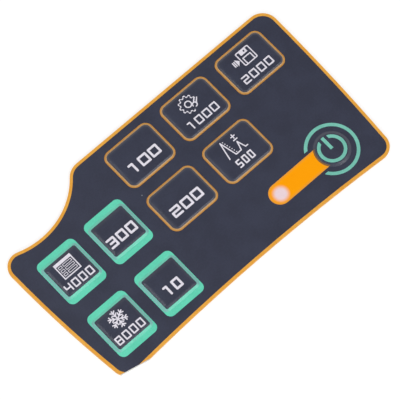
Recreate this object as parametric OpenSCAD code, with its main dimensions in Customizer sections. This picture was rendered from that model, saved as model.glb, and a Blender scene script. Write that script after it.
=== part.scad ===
// Membrane switch panel: an embossed keypad film over snap domes and a printed circuit.
// Origin at the middle of the back face, X along the long side, Y up the panel, Z out of the keys.

/* [Layout] */
// From the left edge to the middle of the first square column
left_margin = 11.9; // [11:0.05:13]
// Column pitch of the square keys
square_pitch_x = 15.65; // [14.5:0.05:16.5]
// From the last square column to the first wide column
group_pitch = 17.8; // [16.5:0.05:19]
// Column pitch of the wide keys
wide_pitch_x = 18.9; // [17.5:0.1:20]
// From the middle of the last wide column to the right edge
right_margin = 13.35; // [12:0.05:15]
// From the top edge down to the middle of the first wide row
top_margin = 9.1; // [8.5:0.05:10]
// Row pitch of the wide keys
wide_pitch_y = 15.75; // [14.5:0.05:17]
// From the second wide row down to the middle of the power key
power_drop = 15.55; // [15:0.05:17]
// From the middle of the power key down to the foot of the panel
power_margin = 10.6; // [10:0.05:12]
// From the right edge to the middle of the power key
power_inset = 14.25; // [13:0.05:15]
// From the middle of the power key to the middle of the lamp
lamp_pitch = 18; // [16:0.1:19]
// From the foot of the panel up to the middle of the lower square row
square_margin = 11.65; // [11:0.05:12.5]
// Row pitch of the square keys
square_pitch_y = 18.65; // [17:0.05:19.5]

/* [Panel outline] */
// Radius of the bowed right edge
right_edge_r = 574; // [400:1:900]
// Height above the foot at which the right edge is widest
right_edge_rise = 51; // [40:0.5:56]
// Radius of the bowed left edge
left_edge_r = 335; // [250:1:700]
// Height above the foot at which the left edge is widest
left_edge_rise = 42.5; // [36:0.5:48]
// Radius of the hollow bottom edge
bottom_edge_r = 612; // [450:1:900]
// Rise of the bottom edge's arch above the foot of the panel
bottom_rise = 1.5; // [0.5:0.1:2.5]
// Radius of the hollow that is scooped out of the upper left
notch_r = 21.2; // [19:0.1:23]
// Depth of that hollow below the top edge
notch_depth = 9.05; // [8:0.05:10]
// From the left edge to the hollow's lowest point
notch_inset = 12.25; // [11:0.05:14]
// Corner radius at the upper right
top_right_r = 4.5; // [2:0.1:7]
// Corner radius at the lower right
bottom_right_r = 4; // [2:0.1:6]
// Corner radius at the lower left, before the trim
bottom_left_r = 4; // [2:0.1:6]
// Corner radius of the lobe left of the hollow
lobe_r = 4; // [2.5:0.1:5]
// Corner radius of the knee right of the hollow
knee_r = 5; // [3:0.1:7]
// Height above the foot at which the straight trim of the lower left corner leaves the left edge
trim_rise = 2.7; // [1.5:0.1:4]
// Slope of the trim below the horizontal, in degrees
trim_angle = 12.4; // [8:0.1:20]

/* [Keys] */
// Width of a wide key at its foot
wide_w = 14.95; // [12.5:0.05:16]
// Height of a wide key at its foot
wide_h = 11.85; // [10.5:0.05:13]
// Corner radius of a wide key at its foot
wide_r = 2; // [1.5:0.05:3]
// Width of a square key at its foot
square_w = 12; // [11.2:0.1:12.6]
// Height of a square key at its foot
square_h = 11.1; // [10:0.1:12]
// Corner radius of a square key at its foot
square_r = 1.45; // [1.3:0.05:2.2]
// Radius of the power key at its foot
power_r = 4.9; // [4.7:0.1:5.4]

/* [Key relief] */
// Height that a key stands above the film
relief_h = 0.35; // [0.25:0.01:0.5]
// Width of the sloping wall round a key
relief_run = 0.9; // [0.8:0.01:1.05]
// Radius of the bend at the foot of the wall, on the top face
foot_bend_r = 0.2; // [0.1:0.01:0.3]
// Radius of the bend at the shoulder of the wall, inside the hollow
shoulder_bend_r = 0.15; // [0.08:0.01:0.2]

/* [Film stack] */
// Thickness of the overlay film
overlay_t = 0.25; // [0.15:0.01:0.3]
// Thickness of the overlay's adhesive
overlay_adhesive_t = 0.05; // [0.05:0.01:0.1]
// Thickness of the film that holds the domes
retainer_t = 0.06; // [0.05:0.01:0.1]
// Thickness of the spacer with its adhesive
spacer_t = 0.32; // [0.28:0.01:0.45]
// Thickness of the circuit film
circuit_t = 0.13; // [0.1:0.01:0.2]
// Thickness of the rear adhesive
rear_adhesive_t = 0.09; // [0.05:0.01:0.2]
// Inset of the inner layers from the overlay's edge
layer_inset = 0.05; // [0.05:0.05:0.4]
// Clearance round a raised key's hollow in the overlay's adhesive
window_clearance = 0.25; // [0.1:0.05:0.5]

/* [Domes] */
// Diameter of a snap dome
dome_d = 8; // [7:0.1:8.4]
// Thickness of the dome's steel
dome_t = 0.06; // [0.05:0.01:0.08]
// Clearance between a dome's rim and its pocket, all round
dome_clearance = 0.2; // [0.1:0.05:0.4]
// Clearance between a dome's crown and the film over it
crown_clearance = 0.02; // [0.01:0.01:0.04]
// Width of the air channels between the pockets
channel_w = 0.8; // [0.5:0.1:1.5]

/* [Circuit] */
// Width of a silver track
track_w = 0.4; // [0.3:0.05:0.5]
// Pitch of the tracks side by side, at the tail slot and in the runs that lead to it
track_pitch = 1; // [0.8:0.05:1.1]
// Thickness of the printed silver
silver_t = 0.02; // [0.02:0.01:0.04]
// Diameter of the contact pad under a dome
pad_d = 2.6; // [2:0.1:3.5]
// Width of the contact ring under a dome's rim
ring_w = 1; // [0.6:0.1:1.2]
// Gap in the contact ring where the pad's track leaves
ring_gap = 1.4; // [1.2:0.1:2]
// Place of the common track inside the panel's edge
bus_inset = 2.6; // [2.2:0.1:3]
// Place of the tail slot's middle, right of the first wide column
slot_inset = 4.9; // [3:0.1:6]
// Place of the tail slot's upper edge, above the foot of the panel
slot_rise = 7.5; // [7:0.1:8]
// Height of the tail slot
slot_h = 1.6; // [1:0.1:2]

/* [Lamp] */
// Length of the lamp
lamp_l = 1.6; // [1.2:0.1:2]
// Width of the lamp
lamp_w = 0.8; // [0.6:0.1:1.2]
// Length of each of the lamp's metal ends
lamp_end_l = 0.3; // [0.2:0.05:0.4]
// Clearance between the lamp and the film over it
lamp_clearance = 0.03; // [0.02:0.01:0.05]
// Diameter of the lamp's window
lamp_window_d = 4; // [3:0.1:4.8]

/* [Print] */
// Thickness of the printed ink
ink_t = 0.03; // [0.02:0.01:0.05]
// Width of the orange border
border_w = 0.8; // [0.5:0.1:1.2]
// Width of the orange line round a wide key that lies on the flat film
outline_w = 0.25; // [0.1:0.05:0.4]
// Width of the orange line that climbs the wide key's wall
outline_climb = 0.35; // [0.2:0.05:0.5]
// Width of a green frame on the flat film, at the key's sides
frame_side_w = 0.1; // [0.05:0.05:0.4]
// Width of a green frame on the flat film, above and below the key
frame_end_w = 1.5; // [0.9:0.05:1.8]
// Width of a green frame's ink that climbs the key's side walls
frame_side_climb = 0.85; // [0.5:0.05:0.9]
// Width of a green frame's ink that climbs the walls above and below
frame_end_climb = 0.7; // [0.5:0.05:0.9]
// Outer corner radius of a green frame
frame_r = 1.6; // [1.2:0.1:2.5]
// Width of the orange bar
bar_w = 5.9; // [5.2:0.1:6.4]
// Length of the bar's ink that climbs the power key's wall
bar_climb = 0.45; // [0.2:0.05:0.7]
// Radius of the power symbol's ring, to the middle of its line
symbol_r = 3.38; // [3:0.02:3.5]
// Radius of the open ring round the power key, to the middle of its line
halo_r = 6.68; // [6.3:0.02:7]
// Line width of the power symbol and its open ring
symbol_w = 0.9; // [0.6:0.05:1]
// Gap between the orange bar and the ends of the open ring
halo_gap = 0.8; // [0.4:0.1:1.2]
// Gap on each side of the power symbol's stroke
symbol_gap = 0.85; // [0.5:0.05:1]

/* [Legends] */
// Height of a large number
large_h = 2.9; // [2.4:0.1:3.2]
// Line width of a large number
large_line = 0.6; // [0.4:0.05:0.7]
// Drop of a large number below the middle of a wide key
wide_large_drop = 1.6; // [1:0.1:2]
// Drop of a large number below the middle of a square key
square_large_drop = 1.3; // [1:0.1:2]
// Height of a small number
small_h = 2.35; // [2:0.05:2.4]
// Line width of a small number
small_line = 0.4; // [0.3:0.05:0.5]
// Drop of a small number below the middle of its key
small_drop = 2.9; // [2.8:0.05:3]
// Width of a number that fills a wide key
wide_number_w = 9.8; // [8:0.1:10.5]
// Width of a number that fills a square key
square_number_w = 8.8; // [7.5:0.1:9]
// Width of a short number
short_number_w = 5.3; // [4.5:0.1:6]
// Gap between numerals
numeral_gap = 0.55; // [0.4:0.05:0.7]
// Height of the pictograms
icon_h = 5.2; // [4.6:0.1:5.3]
// Lift of a pictogram above the middle of a wide key
wide_icon_lift = 2; // [1.8:0.05:2.2]
// Lift of a pictogram above the middle of a square key
square_icon_lift = 1.6; // [1.5:0.05:1.7]
// Line width of the pictograms
icon_line = 0.32; // [0.2:0.02:0.4]
// Number of teeth on the gear pictogram
gear_teeth = 11; // [8:1:14]

/* [Hidden] */

// Greatest distance between a curved edge and the short straight edges that stand for it
curve_sag = 0.01;
// Straight steps in a bend of the film
bend_steps = 4;
// Straight steps from a dome's crown to its rim
dome_steps = 8;
// Sides of the round end of a line
line_end_sides = 12;
// Length that a cutting shape runs past what it cuts
cut_over = 1;
$fn = 64;

// Heights of the layers above the back face
circuit_z = rear_adhesive_t;
spacer_z = circuit_z + circuit_t;
retainer_z = spacer_z + spacer_t;
overlay_adhesive_z = retainer_z + retainer_t;
overlay_z = overlay_adhesive_z + overlay_adhesive_t;
face_z = overlay_z + overlay_t;
key_z = face_z + relief_h;

// Size of the panel, set by its layout
panel_w = left_margin + square_pitch_x + group_pitch + 2 * wide_pitch_x + right_margin;
panel_h = top_margin + wide_pitch_y + power_drop + power_margin;
left_x = -panel_w / 2;
right_x = panel_w / 2;
top_y = panel_h / 2;
foot_y = -panel_h / 2;

// Places of the keys, numbered along the rows: five wide keys, then four square ones
square_x = left_x + left_margin;
wide_x = square_x + square_pitch_x + group_pitch;
wide_at = [
    for (place = [[0, 0], [1, 0], [2, 0], [0, 1], [1, 1]])
        [wide_x + place.x * wide_pitch_x, top_y - top_margin - place.y * wide_pitch_y]
];
square_at = [
    for (place = [[0, 1], [1, 1], [0, 0], [1, 0]])
        [square_x + place.x * square_pitch_x, foot_y + square_margin + place.y * square_pitch_y]
];
power_at = [right_x - power_inset, foot_y + power_margin];
lamp_at = power_at - [lamp_pitch, 0];
dome_at = concat(wide_at, square_at, [power_at]);

// The circles that the panel's curved edges follow
right_c = [right_x - right_edge_r, foot_y + right_edge_rise];
left_c = [left_x + left_edge_r, foot_y + left_edge_rise];
bottom_c = [0, foot_y + bottom_rise - bottom_edge_r];
notch_c = [left_x + notch_inset, top_y - notch_depth + notch_r];

// Centres of the rounded corners, each tangent to the two edges that it joins
top_right_c = [right_c.x + other_leg(right_edge_r - top_right_r, top_y - top_right_r - right_c.y),
               top_y - top_right_r];
bottom_right_c = meet(right_c, right_edge_r - bottom_right_r, bottom_c, bottom_edge_r + bottom_right_r, 1);
bottom_left_c = meet(left_c, left_edge_r - bottom_left_r, bottom_c, bottom_edge_r + bottom_left_r, -1);
lobe_c = meet(left_c, left_edge_r - lobe_r, notch_c, notch_r + lobe_r, 1);
knee_c = [notch_c.x + other_leg(notch_r + knee_r, top_y - knee_r - notch_c.y), top_y - knee_r];

// Second short side of a right triangle
function other_leg(long_side, leg) = sqrt(long_side * long_side - leg * leg);

// Where two circles cross; side picks the crossing left (1) or right (-1) of the way from a to b
function meet(a, a_r, b, b_r, side) =
    let (way = b - a, gap = norm(way), along = (a_r * a_r - b_r * b_r + gap * gap) / (2 * gap))
    a + way * along / gap + side * other_leg(a_r, along) / gap * [-way.y, way.x];

// Points of an arc that starts and ends in the directions of two vectors; turn is 1 for anticlockwise
function arc(centre, r, from, to, turn) =
    let (start = atan2(from.y, from.x), end = atan2(to.y, to.x))
    let (sweep = (turn * (end - start) + 720) % 360)
    let (steps = max(2, ceil(sweep / (2 * acos(1 - curve_sag / r)))))
    [for (i = [0 : steps]) centre + r * [cos(start + turn * sweep * i / steps),
                                         sin(start + turn * sweep * i / steps)]];

// Clockwise outline of the panel, drawn in by an inset, from the knee along the top edge and round
function outline_points(inset) = concat(
    arc(knee_c, knee_r - inset, notch_c - knee_c, [0, 1], -1),
    arc(top_right_c, top_right_r - inset, [0, 1], top_right_c - right_c, -1),
    arc(right_c, right_edge_r - inset, top_right_c - right_c, bottom_right_c - right_c, -1),
    arc(bottom_right_c, bottom_right_r - inset, bottom_right_c - right_c, bottom_c - bottom_right_c, -1),
    arc(bottom_c, bottom_edge_r + inset, bottom_right_c - bottom_c, bottom_left_c - bottom_c, 1),
    arc(bottom_left_c, bottom_left_r - inset, bottom_c - bottom_left_c, bottom_left_c - left_c, -1),
    arc(left_c, left_edge_r - inset, bottom_left_c - left_c, lobe_c - left_c, -1),
    arc(lobe_c, lobe_r - inset, lobe_c - left_c, notch_c - lobe_c, -1),
    arc(notch_c, notch_r + inset, lobe_c - notch_c, knee_c - notch_c, 1)
);

// The panel's face, drawn in by an inset, with the lower left corner trimmed off straight
module outline(inset = 0) {
    difference() {
        polygon(outline_points(inset));
        trim();
    }
}

// What the straight trim takes off, below a line that falls from the left edge
module trim() {
    translate([left_x, foot_y + trim_rise])
        rotate(-trim_angle)
            translate([-panel_w / 4, -panel_h])
                square([panel_w, panel_h]);
}

// A rectangle about the origin with round corners
module rounded(size, r) {
    square([size.x - 2 * r, size.y], center = true);
    square([size.x, size.y - 2 * r], center = true);
    for (x = [-1, 1], y = [-1, 1])
        translate([x * (size.x / 2 - r), y * (size.y / 2 - r)])
            circle(r);
}

// A flat layer of the stack: the panel's outline less what its children cut from it
module layer(z, t, inset) {
    translate([0, 0, z])
        linear_extrude(t)
            difference() {
                outline(inset);
                children();
            }
}

// Foot outlines of all raised keys, grown by a clearance
module key_windows(grow = 0) {
    for (at = wide_at)
        translate(at)
            rounded([wide_w + 2 * grow, wide_h + 2 * grow], wide_r + grow);
    for (at = square_at)
        translate(at)
            rounded([square_w + 2 * grow, square_h + 2 * grow], square_r + grow);
    translate(power_at)
        circle(power_r + grow);
}

// Slope of a key's wall: two bends joined by a straight stretch that is tangent to both
shoulder_r = shoulder_bend_r + overlay_t;
wall_drop = relief_h - foot_bend_r - shoulder_r;
wall_slope = atan2(wall_drop, relief_run) + asin((foot_bend_r + shoulder_r) / norm([relief_run, wall_drop]));

// Points on the wall's section at a depth below the top face, from the foot inward and up to the plateau
function wall_line(depth) = concat(
    [for (i = [0 : bend_steps])
        let (a = wall_slope * i / bend_steps)
        [0, foot_bend_r] + (foot_bend_r + depth) * [sin(a), -cos(a)]],
    [for (i = [bend_steps : -1 : 0])
        let (a = wall_slope * i / bend_steps)
        [relief_run, relief_h - shoulder_r] + (shoulder_r - depth) * [-sin(a), cos(a)]]
);

// The wall at a depth below the top face, as seen from the middle of a key that reaches so far to its foot
function wall_from_middle(reach, depth) = [for (p = wall_line(depth)) [reach - p.x, p.y]];

// Half of a key's section at a depth below the top face, from a floor up
module half_section(reach, depth, floor) {
    wall = wall_from_middle(reach, depth);
    polygon(concat([[0, floor], [reach, floor]], wall, [[0, relief_h - depth]]));
}

// The whole of that section, from foot to foot
module whole_section(reach, depth, floor) {
    wall = wall_from_middle(reach, depth);
    polygon(concat([[-reach, floor], [reach, floor]], wall,
                   [for (i = [len(wall) - 1 : -1 : 0]) [-wall[i].x, wall[i].y]]));
}

// The mound under a key's top face, sunk by a depth and filled down to a floor: two prisms that cross,
// and a quarter of a turned shape at each corner
module mound(size, r, depth, floor) {
    for (turn = [0 : 3]) {
        across = turn % 2 == 0 ? size : [size.y, size.x];
        if (turn < 2)
            rotate([90, 0, 90 * turn])
                linear_extrude(across.y - 2 * r, center = true)
                    whole_section(across.x / 2, depth, floor);
        rotate(90 * turn)
            translate([across.x / 2 - r, across.y / 2 - r, 0])
                rotate_extrude(angle = 90)
                    half_section(r, depth, floor);
    }
}

// The mounds of all keys
module mounds(depth, floor) {
    for (at = wide_at)
        translate(at)
            mound([wide_w, wide_h], wide_r, depth, floor);
    for (at = square_at)
        translate(at)
            mound([square_w, square_h], square_r, depth, floor);
    translate(power_at)
        rotate_extrude()
            half_section(power_r, depth, floor);
}

// One film with the keys formed up out of it, hollow beneath them
module graphic_overlay() {
    color("#3d4150")
        translate([0, 0, face_z])
            difference() {
                union() {
                    translate([0, 0, -overlay_t])
                        linear_extrude(overlay_t)
                            outline();
                    mounds(0, -overlay_t / 2);
                }
                mounds(overlay_t, -overlay_t - cut_over);
            }
}

// A field of ink on the film's face or on a key's plateau
module ink(z) {
    translate([0, 0, z])
        linear_extrude(ink_t)
            children();
}

// A field of ink that runs over the film's face and up the walls of its keys
module formed_ink() {
    translate([0, 0, face_z])
        difference() {
            intersection() {
                union() {
                    linear_extrude(ink_t)
                        square([panel_w, panel_h], center = true);
                    mounds(-ink_t, 0);
                }
                linear_extrude(relief_h + cut_over)
                    children();
            }
            mounds(0, -cut_over);
        }
}

module border_ink() {
    color("#ee9f2c")
        ink(face_z)
            difference() {
                outline();
                polygon(outline_points(border_w));
            }
}

module key_outline_ink() {
    color("#d9973a")
        formed_ink()
            for (at = wide_at)
                translate(at)
                    difference() {
                        rounded([wide_w + 2 * outline_w, wide_h + 2 * outline_w], wide_r + outline_w);
                        rounded([wide_w - 2 * outline_climb, wide_h - 2 * outline_climb],
                                wide_r - outline_climb);
                    }
}

module green_frame_ink() {
    color("#62d6b4")
        formed_ink()
            for (at = square_at)
                translate(at)
                    difference() {
                        rounded([square_w + 2 * frame_side_w, square_h + 2 * frame_end_w], frame_r);
                        rounded([square_w - 2 * frame_side_climb, square_h - 2 * frame_end_climb],
                                square_r - frame_side_climb);
                    }
}

module indicator_bar_ink() {
    color("#ff9f00")
        formed_ink()
            difference() {
                union() {
                    translate(lamp_at)
                        circle(d = bar_w);
                    translate(lamp_at - [0, bar_w / 2])
                        square([lamp_pitch, bar_w]);
                }
                translate(power_at)
                    circle(power_r - bar_climb);
                translate(lamp_at)
                    circle(d = lamp_window_d);
            }
}

module indicator_window() {
    color("#ead7e0")
        translate(lamp_at)
            ink(face_z)
                circle(d = lamp_window_d);
}

// A round line about the origin
module ring(r, w) {
    difference() {
        circle(r + w / 2);
        circle(r - w / 2);
    }
}

module power_symbol_ink() {
    opening = bar_w + 2 * halo_gap;
    break_w = symbol_w + 2 * symbol_gap;
    color("#6fc9b0")
        translate(power_at) {
            ink(face_z)
                difference() {
                    ring(halo_r, symbol_w);
                    translate([-halo_r - symbol_w - cut_over, -opening / 2])
                        square([halo_r + symbol_w + cut_over, opening]);
                }
            ink(key_z)
                difference() {
                    ring(symbol_r, symbol_w);
                    translate([-break_w / 2, 0])
                        square([break_w, symbol_r + symbol_w + cut_over]);
                }
            ink(key_z)
                translate([-symbol_w / 2, 0])
                    square([symbol_w, symbol_r + symbol_w / 2]);
        }
}

// A line of even width with round ends through a list of points
module stroke(points, w) {
    for (i = [0 : len(points) - 2]) {
        way = points[i + 1] - points[i];
        translate(points[i])
            rotate(atan2(way.y, way.x))
                translate([0, -w / 2])
                    square([norm(way), w]);
    }
    for (p = points)
        translate(p)
            circle(d = w, $fn = line_end_sides);
}

// Strokes of each numeral on a grid one wide and two high
function numeral_strokes(n) =
    n == 0 ? [[[0, 0], [1, 0], [1, 2], [0, 2], [0, 0]]] :
    n == 1 ? [[[0.15, 2], [0.6, 2], [0.6, 0]]] :
    n == 2 ? [[[0, 2], [1, 2], [1, 1], [0, 1], [0, 0], [1, 0]]] :
    n == 3 ? [[[0, 2], [1, 2], [1, 0], [0, 0]], [[0.2, 1], [1, 1]]] :
    n == 4 ? [[[0, 2], [0, 1], [1, 1]], [[1, 2], [1, 0]]] :
    n == 5 ? [[[1, 2], [0, 2], [0, 1], [1, 1], [1, 0], [0, 0]]] :
             [[[0, 0], [1, 0], [1, 2], [0, 2], [0, 0]], [[0, 1], [1, 1]]];

// A plain number, one numeral after another, with its middle at the origin
module number(digits, width, h, line) {
    w = (width - numeral_gap * (len(digits) - 1)) / len(digits);
    for (i = [0 : len(digits) - 1])
        for (points = numeral_strokes(digits[i]))
            stroke([for (p = points) [(w + numeral_gap) * i - (width - line) / 2 + p.x * (w - line),
                                      (p.y - 1) * (h - line) / 2]], line);
}

module large_number(digits, width) {
    number(digits, width, large_h, large_line);
}

module small_number(digits, width) {
    translate([0, -small_drop])
        number(digits, width, small_h, small_line);
}

// The pictograms are drawn on a grid, twelve steps to their height
icon_step = icon_h / 12;

// Corners of a toothed wheel between two radii, four to a tooth
function gear_points(root, tip) = [
    for (i = [0 : gear_teeth - 1], corner = [[0, root], [0.15, tip], [0.5, tip], [0.65, root]])
        let (a = 360 * (i + corner[0]) / gear_teeth)
        corner[1] * [cos(a), sin(a)]
];

// A gear wheel in outline, with a spanner laid over its lower right
module gear_icon() {
    root = 5 * icon_step;
    tip = 6 * icon_step;
    spanner_at = [3, -2.6] * icon_step;
    difference() {
        polygon(gear_points(root, tip));
        polygon(gear_points(root - icon_line, tip - icon_line));
        translate(spanner_at)
            circle(2.9 * icon_step);
    }
    ring(2 * icon_step, icon_line);
    translate(spanner_at)
        rotate(45) {
            for (side = [-0.8, 0.8])
                stroke([[1, side], [4.6, side]] * icon_step, icon_line);
            difference() {
                ring(1.4 * icon_step, icon_line);
                translate([-2.4, -0.6] * icon_step)
                    square([2.4, 1.2] * icon_step);
            }
        }
}

// A data disk in outline, with an arrow into it from the left
module disk_icon() {
    side = 10 * icon_step;
    difference() {
        rounded([side, side], icon_step);
        rounded([side - 2 * icon_line, side - 2 * icon_line], icon_step / 2);
    }
    translate([-2.5, 1.7] * icon_step)
        difference() {
            square([5, 2.9] * icon_step);
            translate([2.8, 0.9] * icon_step)
                square([1, 1.2] * icon_step);
        }
    stroke([[-2.8, -4.4], [-2.8, -0.1], [2.8, -0.1], [2.8, -4.4]] * icon_step, icon_line);
    polygon([[-7.7, -2.5], [-5.4, 0], [-7.7, 2.5]] * icon_step);
    for (x = [-9.7, -8.6])
        stroke([[x, -1.5], [x, 1.5]] * icon_step, icon_line);
}

// Two pairs of peaks over a base line, one dotted, with plus and minus beside them
module peaks_icon() {
    stroke([[-7, -5.6], [-4.6, 5.6], [-2, -5.6], [2, -5.6], [3.7, 0], [5.4, -5.6], [7, -5.6]] * icon_step,
           icon_line);
    for (i = [0 : 6])
        translate([-3.1 + 0.4 * i, 5 - 1.6 * i] * icon_step)
            circle(d = icon_line, $fn = line_end_sides);
    stroke([[2.6, 4], [5.2, 4]] * icon_step, icon_line);
    stroke([[3.9, 2.7], [3.9, 5.3]] * icon_step, icon_line);
    stroke([[2.6, 1.6], [5.2, 1.6]] * icon_step, icon_line);
}

// A list in a window, with a solid head and three rows of two cells
module list_icon() {
    size = [12.5, 11] * icon_step;
    head_h = 2 * icon_step;
    cell_h = 1.8 * icon_step;
    row_pitch = 2.5 * icon_step;
    difference() {
        square(size, center = true);
        translate([icon_line - size.x / 2, icon_line - size.y / 2])
            square([size.x - 2 * icon_line, size.y - head_h - icon_line]);
    }
    for (row = [0 : 2], cell = [[-3.6, 2.5], [1.6, 6.4]] * icon_step)
        translate([cell[0], size.y / 2 - head_h - row_pitch * (row + 0.62)])
            difference() {
                square([cell[1], cell_h], center = true);
                square([cell[1] - icon_line, cell_h - icon_line], center = true);
            }
}

// A snowflake of six branched arms
module snow_icon() {
    for (i = [0 : 5])
        rotate(60 * i + 30) {
            stroke([[0, 0], [5.6, 0]] * icon_step, icon_line);
            for (at = [2, 3.8], side = [-1, 1])
                stroke([[at, 0], [at + 1.3, side * 1.4]] * icon_step, icon_line);
        }
}

module legend_ink() {
    color("#e6e2eb")
        ink(key_z) {
            translate(wide_at[0] - [0, wide_large_drop])
                large_number([1, 0, 0], wide_number_w);
            translate(wide_at[1]) {
                small_number([1, 0, 0, 0], wide_number_w);
                translate([-1.4 * icon_step, wide_icon_lift])
                    gear_icon();
            }
            translate(wide_at[2]) {
                small_number([2, 0, 0, 0], wide_number_w);
                translate([1.4 * icon_step, wide_icon_lift])
                    disk_icon();
            }
            translate(wide_at[3] - [0, wide_large_drop])
                large_number([2, 0, 0], wide_number_w);
            translate(wide_at[4]) {
                small_number([5, 0, 0], short_number_w);
                translate([0, wide_icon_lift])
                    peaks_icon();
            }
            translate(square_at[0]) {
                small_number([4, 0, 0, 0], square_number_w);
                translate([0, square_icon_lift])
                    list_icon();
            }
            translate(square_at[1] - [0, square_large_drop])
                large_number([3, 0, 0], square_number_w);
            translate(square_at[2]) {
                small_number([8, 0, 0, 0], square_number_w);
                translate([0, square_icon_lift])
                    snow_icon();
            }
            translate(square_at[3] - [0, square_large_drop])
                large_number([1, 0], short_number_w);
        }
}

module overlay_adhesive() {
    color("#c9c3b4")
        layer(overlay_adhesive_z, overlay_adhesive_t, layer_inset) {
            key_windows(window_clearance);
            translate(lamp_at)
                circle(d = lamp_window_d);
        }
}

module dome_retainer() {
    color("#d8d4cc")
        layer(retainer_z, retainer_t, layer_inset)
            translate(lamp_at)
                circle(d = lamp_window_d);
}

// A straight air channel between two pockets
module channel(from, to) {
    stroke([from, to], channel_w);
}

module spacer() {
    color("#e4e1d8")
        layer(spacer_z, spacer_t, layer_inset) {
            for (at = dome_at)
                translate(at)
                    circle(d = dome_d + 2 * dome_clearance);
            translate(lamp_at)
                circle(d = lamp_window_d);
            channel(wide_at[0], wide_at[2]);
            channel(wide_at[3], wide_at[4]);
            channel(wide_at[0], wide_at[3]);
            channel(square_at[0], square_at[1]);
            channel(square_at[2], square_at[3]);
            channel(square_at[0], square_at[2]);
            channel(square_at[1], wide_at[3]);
            channel(wide_at[4], lamp_at);
            channel(lamp_at, power_at);
        }
}

// A round snap dome that stands on its rim
module dome(at) {
    rim = dome_d / 2;
    rise = spacer_t - crown_clearance - dome_t;
    sphere_r = (rim * rim + rise * rise) / (2 * rise);
    function crown(x) = other_leg(sphere_r, x) - sphere_r + rise;
    color("#c4c7cc")
        translate([at.x, at.y, spacer_z])
            rotate_extrude()
                polygon(concat(
                    [for (i = [0 : dome_steps]) let (x = rim * i / dome_steps) [x, crown(x)]],
                    [for (i = [dome_steps : -1 : 0]) let (x = rim * i / dome_steps) [x, crown(x) + dome_t]]
                ));
}

// Where the tracks meet the tail slot, counted from the left
slot_x = wide_x + slot_inset;
slot_y = foot_y + slot_rise;
slot_count = 12;
function slot_at(i) = [slot_x + (i - (slot_count - 1) / 2) * track_pitch, slot_y];

// The slot through which the tail leaves at the back
module tail_slot() {
    translate([slot_at(0).x - track_pitch, slot_y - slot_h])
        square([(slot_count + 1) * track_pitch, slot_h]);
}

// Lanes of the tracks, midway between the domes that they pass
lane_left = (square_at[1].x + wide_at[3].x) / 2;
lane_mid = (wide_at[0].x + wide_at[1].x) / 2;
lane_right = (wide_at[1].x + wide_at[2].x) / 2;
lane_row = (square_at[0].y + square_at[2].y) / 2;
lane_high = (wide_at[2].y + wide_at[4].y) / 2;
lane_low = (wide_at[4].y + power_at.y) / 2;
lane_foot = square_at[3].y;

// For each dome, its place at the slot and the bends of its track on the way there
dome_tracks = [
    [5, [[lane_mid - track_pitch, wide_at[0].y], [lane_mid - track_pitch, lane_foot + 4 * track_pitch]]],
    [6, [[lane_mid, wide_at[1].y], [lane_mid, lane_foot + 3 * track_pitch]]],
    [8, [[wide_at[2].x, lane_high], [lane_right, lane_high], [lane_right, lane_low],
         [lane_mid + 2 * track_pitch, lane_low], [lane_mid + 2 * track_pitch, lane_foot + track_pitch]]],
    [4, [[wide_at[3].x, lane_foot + 4 * track_pitch]]],
    [7, [[lane_mid + track_pitch, wide_at[4].y], [lane_mid + track_pitch, lane_foot + 2 * track_pitch]]],
    [2, [[square_at[0].x, lane_row + track_pitch / 2], [lane_left, lane_row + track_pitch / 2],
         [lane_left, lane_foot + 2 * track_pitch]]],
    [3, [[lane_left + track_pitch, square_at[1].y], [lane_left + track_pitch, lane_foot + 3 * track_pitch]]],
    [1, [[square_at[2].x, lane_row - track_pitch / 2],
         [lane_left - track_pitch, lane_row - track_pitch / 2],
         [lane_left - track_pitch, lane_foot + track_pitch]]],
    [0, []],
    [9, [[power_at.x, lane_low - track_pitch], [lane_mid + 3 * track_pitch, lane_low - track_pitch],
         [lane_mid + 3 * track_pitch, lane_foot]]]
];

// Points of a track from its first bends to the slot; each leg lies level or plumb
function to_slot(bends, i) = concat(bends, [[slot_at(i).x, bends[len(bends) - 1].y], slot_at(i)]);

// A dome's contact pad, the split ring round it, and the pad's track out through the ring's gap
module contact(track) {
    way = track[1] - track[0];
    stroke(track, track_w);
    translate(track[0]) {
        circle(d = pad_d);
        rotate(atan2(way.y, way.x))
            difference() {
                ring((dome_d - ring_w) / 2, ring_w);
                translate([0, -ring_gap / 2])
                    square([dome_d, ring_gap]);
            }
    }
}

// Common track: a loop inside the panel's edge, with a stub to each contact ring
module common_track() {
    bus_left = square_at[0].x - dome_d / 2 - bus_inset;
    bus_right = power_at.x + dome_d / 2 + bus_inset;
    bus_foot = foot_y + bottom_rise + bus_inset;
    bus_top = top_y - bus_inset;
    bus_shelf = top_y - notch_depth - bus_inset;
    bus_step = (square_at[1].x + wide_at[0].x) / 2;
    ring_mid = (dome_d - ring_w) / 2;
    stroke([[bus_left, bus_foot], [bus_left, bus_shelf], [bus_step, bus_shelf],
            [bus_step, bus_top], [bus_right, bus_top], [bus_right, bus_foot], [bus_left, bus_foot]], track_w);
    for (at = [square_at[0], square_at[2]])
        stroke([[bus_left, at.y], [at.x - ring_mid, at.y]], track_w);
    stroke([[square_at[1].x, bus_shelf], square_at[1] + [0, ring_mid]], track_w);
    stroke([[square_at[3].x, bus_foot], square_at[3] - [0, ring_mid]], track_w);
    for (i = [0 : 2])
        stroke([[wide_at[i].x, bus_top], wide_at[i] + [0, ring_mid]], track_w);
    for (i = [0, 1])
        stroke([wide_at[i] - [0, ring_mid], wide_at[i + 3] + [0, ring_mid]], track_w);
    stroke([[bus_right, power_at.y], power_at + [ring_mid, 0]], track_w);
}

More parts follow.
